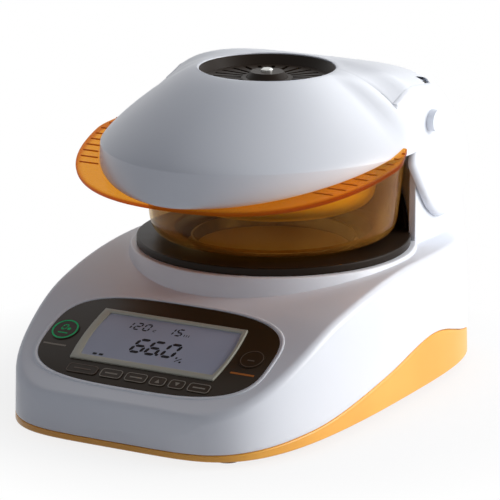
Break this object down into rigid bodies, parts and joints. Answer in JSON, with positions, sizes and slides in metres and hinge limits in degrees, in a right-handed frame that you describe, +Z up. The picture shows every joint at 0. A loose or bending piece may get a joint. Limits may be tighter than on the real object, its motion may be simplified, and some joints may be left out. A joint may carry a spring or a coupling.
{
  "type": "moisture analyzer",
  "caption": "Bench moisture analyzer: balance base with sloping display panel, weighing dish in a tray, and a hinged heated hood with amber visor, glass wall and reflector.",
  "frame": {"origin": "on the table, under the middle of the footprint", "axes": "+X to the right seen from the front, +Y to the back, +Z up"},
  "size_m": [0.2283, 0.334, 0.212],
  "materials": {
    "white_case": "moulded white ABS, glossy",
    "orange_case": "moulded orange ABS",
    "amber_visor": "tinted translucent amber polycarbonate",
    "panel_overlay": "dark brown printed overlay",
    "display_grey": "warm grey moulded frame",
    "clear_window": "clear acrylic window",
    "display_cell": "reflective liquid-crystal cell",
    "key_green": "green membrane key",
    "key_dark": "dark brown key",
    "circuit_board": "glass-epoxy board",
    "dark_plastic": "black nylon",
    "tray_brown": "dark brown heat-resistant moulding",
    "aluminium_sheet": "pressed aluminium",
    "steel": "stainless steel",
    "aluminium_bar": "machined aluminium",
    "cast_aluminium": "cast aluminium",
    "brass": "turned brass",
    "port_metal": "plated connector shell",
    "clear_glass": "clear heat-resistant glass",
    "ring_black": "dark heat-resistant ring",
    "gold_reflector": "gold-coloured polished reflector",
    "quartz_tube": "quartz heater tube",
    "ceramic_holder": "white ceramic holder",
    "rubber_feet": "black rubber"
  },
  "bodies": {
    "base": {"board_standoffs": "brass", "case_screws": "steel", "chamber_tray": "tray_brown", "display_frame": "display_grey", "display_module": "display_cell", "display_window": "clear_window", "front_feet": "rubber_feet", "hinge_bushes": "brass", "key_switches": "dark_plastic", "keypad_board": "circuit_board", "load_cell": "aluminium_bar", "load_cell_mount": "cast_aluminium", "lower_case": "orange_case", "main_board": "circuit_board", "pan_support": "steel", "panel_plate": "panel_overlay", "power_inlet": "dark_plastic", "power_supply": "circuit_board", "rear_shield": "tray_brown", "serial_port": "port_metal", "switch_frame": "dark_plastic", "upper_case": "white_case"},
    "hood": {"hood_shell": "white_case", "visor": "amber_visor", "vent_grille": "tray_brown", "vent_screw": "steel", "hood_liner": "steel", "reflector": "gold_reflector", "heater_tubes": "quartz_tube", "heater_holders": "ceramic_holder", "temperature_sensor": "steel", "glass_windshield": "clear_glass", "glass_ring": "ring_black", "hinge_pins": "steel", "hinge_caps": "white_case"},
    "rocker": {"rocker_switch": "dark_plastic"},
    "dish": {"sample_dish": "aluminium_sheet"},
    "foot_left": {"levelling_foot_left": "dark_plastic"},
    "foot_right": {"levelling_foot_right": "dark_plastic"},
    "key_tare_body": {"key_tare": "key_green"},
    "key_start_body": {"key_start": "key_dark"},
    "key_mode_body": {"key_mode": "key_dark"},
    "key_menu_body": {"key_menu": "key_dark"},
    "key_select_body": {"key_select": "key_dark"},
    "key_up_body": {"key_up": "key_dark"},
    "key_down_body": {"key_down": "key_dark"},
    "key_enter_body": {"key_enter": "key_dark"}
  },
  "joints": [
    {"name": "hood_hinge", "type": "hinge", "parent": "base", "child": "hood", "pos_m": [0, 0.0957, 0.173], "axis": [-1, 0, 0], "range_deg": [0, 80]},
    {"name": "rocker_tilt", "type": "hinge", "parent": "base", "child": "rocker", "pos_m": [0.052, 0.16084, 0.034], "axis": [-1, 0, 0], "range_deg": [0, 12]},
    {"name": "dish_lift", "type": "slide", "parent": "base", "child": "dish", "axis": [0, 0, 1], "range_m": [0, 0.018]},
    {"name": "foot_left_screw", "type": "slide", "parent": "base", "child": "foot_left", "axis": [0, 0, -1], "range_m": [0, 0.004]},
    {"name": "foot_right_screw", "type": "slide", "parent": "base", "child": "foot_right", "axis": [0, 0, -1], "range_m": [0, 0.004]},
    {"name": "key_tare_press", "type": "slide", "parent": "base", "child": "key_tare_body", "axis": [0, 0.4305, -0.9026], "range_m": [0, 0.0005], "stiffness_N_per_m": 500, "springref_m": -0.0005},
    {"name": "key_start_press", "type": "slide", "parent": "base", "child": "key_start_body", "axis": [0, 0.4305, -0.9026], "range_m": [0, 0.0005], "stiffness_N_per_m": 500, "springref_m": -0.0005},
    {"name": "key_mode_press", "type": "slide", "parent": "base", "child": "key_mode_body", "axis": [0, 0.4305, -0.9026], "range_m": [0, 0.0005], "stiffness_N_per_m": 500, "springref_m": -0.0005},
    {"name": "key_menu_press", "type": "slide", "parent": "base", "child": "key_menu_body", "axis": [0, 0.4305, -0.9026], "range_m": [0, 0.0005], "stiffness_N_per_m": 500, "springref_m": -0.0005},
    {"name": "key_select_press", "type": "slide", "parent": "base", "child": "key_select_body", "axis": [0, 0.4305, -0.9026], "range_m": [0, 0.0005], "stiffness_N_per_m": 500, "springref_m": -0.0005},
    {"name": "key_up_press", "type": "slide", "parent": "base", "child": "key_up_body", "axis": [0, 0.4305, -0.9026], "range_m": [0, 0.0005], "stiffness_N_per_m": 500, "springref_m": -0.0005},
    {"name": "key_down_press", "type": "slide", "parent": "base", "child": "key_down_body", "axis": [0, 0.4305, -0.9026], "range_m": [0, 0.0005], "stiffness_N_per_m": 500, "springref_m": -0.0005},
    {"name": "key_enter_press", "type": "slide", "parent": "base", "child": "key_enter_body", "axis": [0, 0.4305, -0.9026], "range_m": [0, 0.0005], "stiffness_N_per_m": 500, "springref_m": -0.0005}
  ]
}
